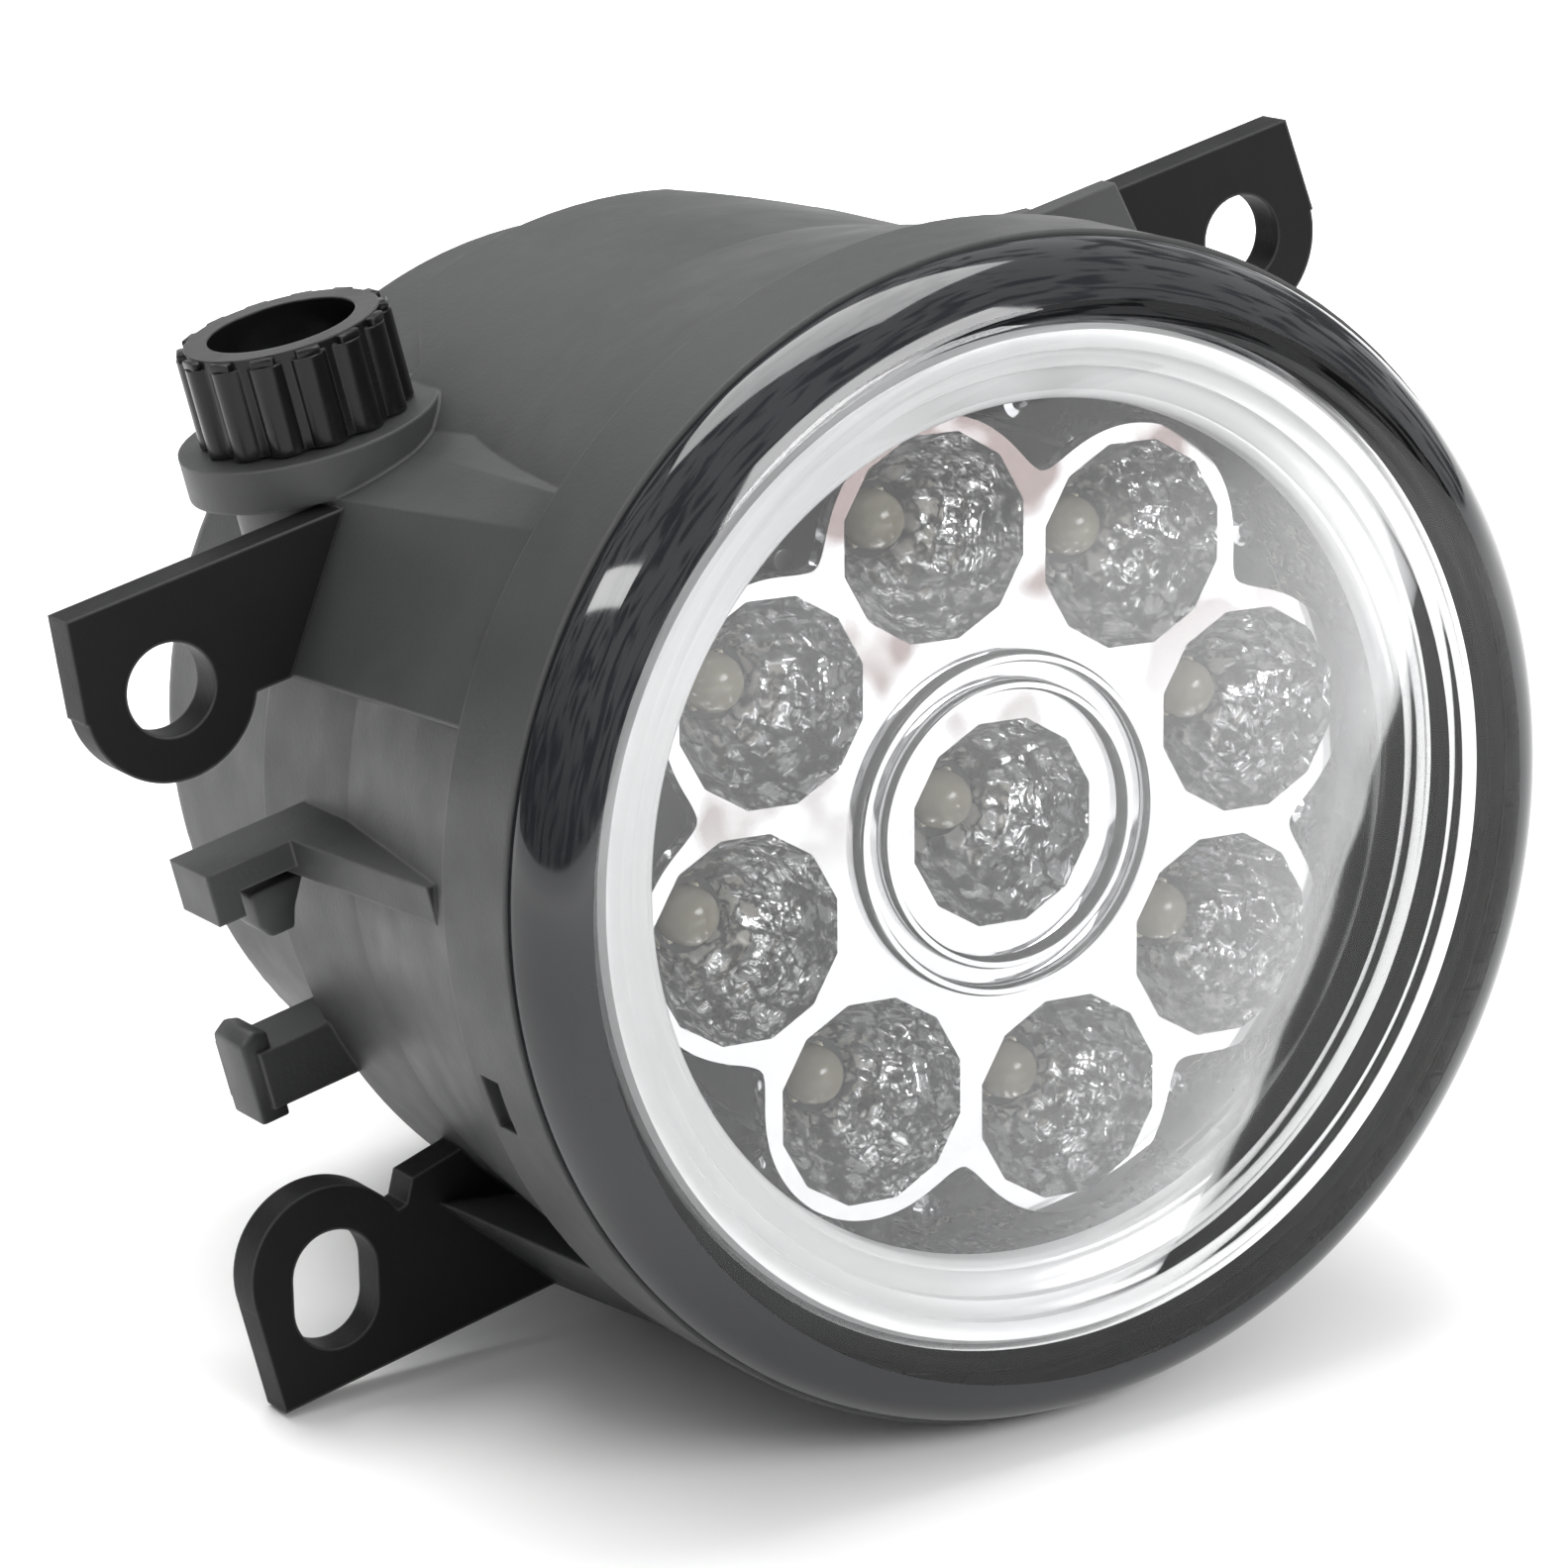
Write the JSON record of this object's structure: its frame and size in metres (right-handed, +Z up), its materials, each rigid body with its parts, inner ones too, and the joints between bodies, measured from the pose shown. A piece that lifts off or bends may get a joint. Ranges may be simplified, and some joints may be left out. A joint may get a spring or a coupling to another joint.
{
  "type": "fog light",
  "caption": "Round front fog light: clear lens, silver ring and faceted LED reflector in a black housing with fixing ears, rear inlet and an aiming knob.",
  "frame": {"origin": "on the optical axis, in the front face of the housing's round collar", "axes": "-Y is the way the lamp looks, +X to the right seen from the front, +Z up, along the aiming knob"},
  "size_m": [0.1149, 0.099, 0.0908],
  "materials": {
    "housing_plastic": "satin charcoal glass-filled moulding",
    "knob_plastic": "semi-gloss black moulding",
    "lens_clear": "clear polished",
    "sealant": "matt black bead",
    "mask_black": "polished black",
    "trim_silver": "bright metallised",
    "reflector_silver": "bright metallised, faceted",
    "bowl_silver": "bright metallised",
    "board_white": "white solder mask",
    "chip_white": "white package",
    "dome_yellow": "clear yellowish silicone",
    "pad_grey": "soft grey pad",
    "sink_aluminium": "cast, satin",
    "carrier_plastic": "black moulding",
    "steel": "zinc plated",
    "nut_plastic": "natural acetal",
    "blade_tin": "tinned brass",
    "circuit_green": "green solder mask",
    "ferrite": "dark ferrite and enamel",
    "capacitor": "sleeved can",
    "chip_black": "black moulded package",
    "lead_sheath": "insulated leads",
    "plug_white": "white nylon",
    "vent_rubber": "matt rubber"
  },
  "bodies": {
    "lamp_body": {"housing": "housing_plastic", "left_ear": "housing_plastic", "right_ear": "housing_plastic", "lower_ear": "housing_plastic", "lens": "lens_clear", "lens_seal": "sealant", "mask_ring": "mask_black", "trim_ring": "trim_silver", "inner_leads": "lead_sheath", "knob_seal": "sealant", "cover_gasket": "sealant", "rear_cover": "housing_plastic", "cover_screws": "steel", "terminals": "blade_tin", "vent_cap": "vent_rubber", "driver_board": "circuit_green", "driver_inductor": "ferrite", "driver_capacitors": "capacitor", "driver_chips": "chip_black"},
    "light_unit": {"reflector": "reflector_silver", "bowl": "bowl_silver", "led_board": "board_white", "led_chips": "chip_white", "led_domes": "dome_yellow", "thermal_pad": "pad_grey", "heat_sink": "sink_aluminium", "carrier": "carrier_plastic", "pivot_pins": "steel", "bowl_screws": "steel", "reflector_screws": "steel", "lead_plug": "plug_white"},
    "knob": {"aim_knob": "knob_plastic", "aim_screw": "steel", "screw_clip": "steel"},
    "nut": {"aim_nut": "nut_plastic"}
  },
  "joints": [
    {"name": "knob_turn", "type": "hinge", "parent": "lamp_body", "child": "knob", "pos_m": [-0.029, 0.045, 0.041], "axis": [0, 0, 1], "range_deg": [-450, 450]},
    {"name": "nut_slide", "type": "slide", "parent": "lamp_body", "child": "nut", "axis": [0, 0, 1], "range_m": [-0.0013, 0.0013]},
    {"name": "light_tilt", "type": "hinge", "parent": "lamp_body", "child": "light_unit", "pos_m": [0, 0.019, 0], "axis": [1, 0, 0], "range_deg": [-2.8, 2.8]}
  ],
  "couplings": [
    {"joint": "nut_slide", "follows": "knob_turn", "m_per_rad": -0.00015915},
    {"joint": "light_tilt", "follows": "knob_turn", "ratio": -0.0061213}
  ]
}
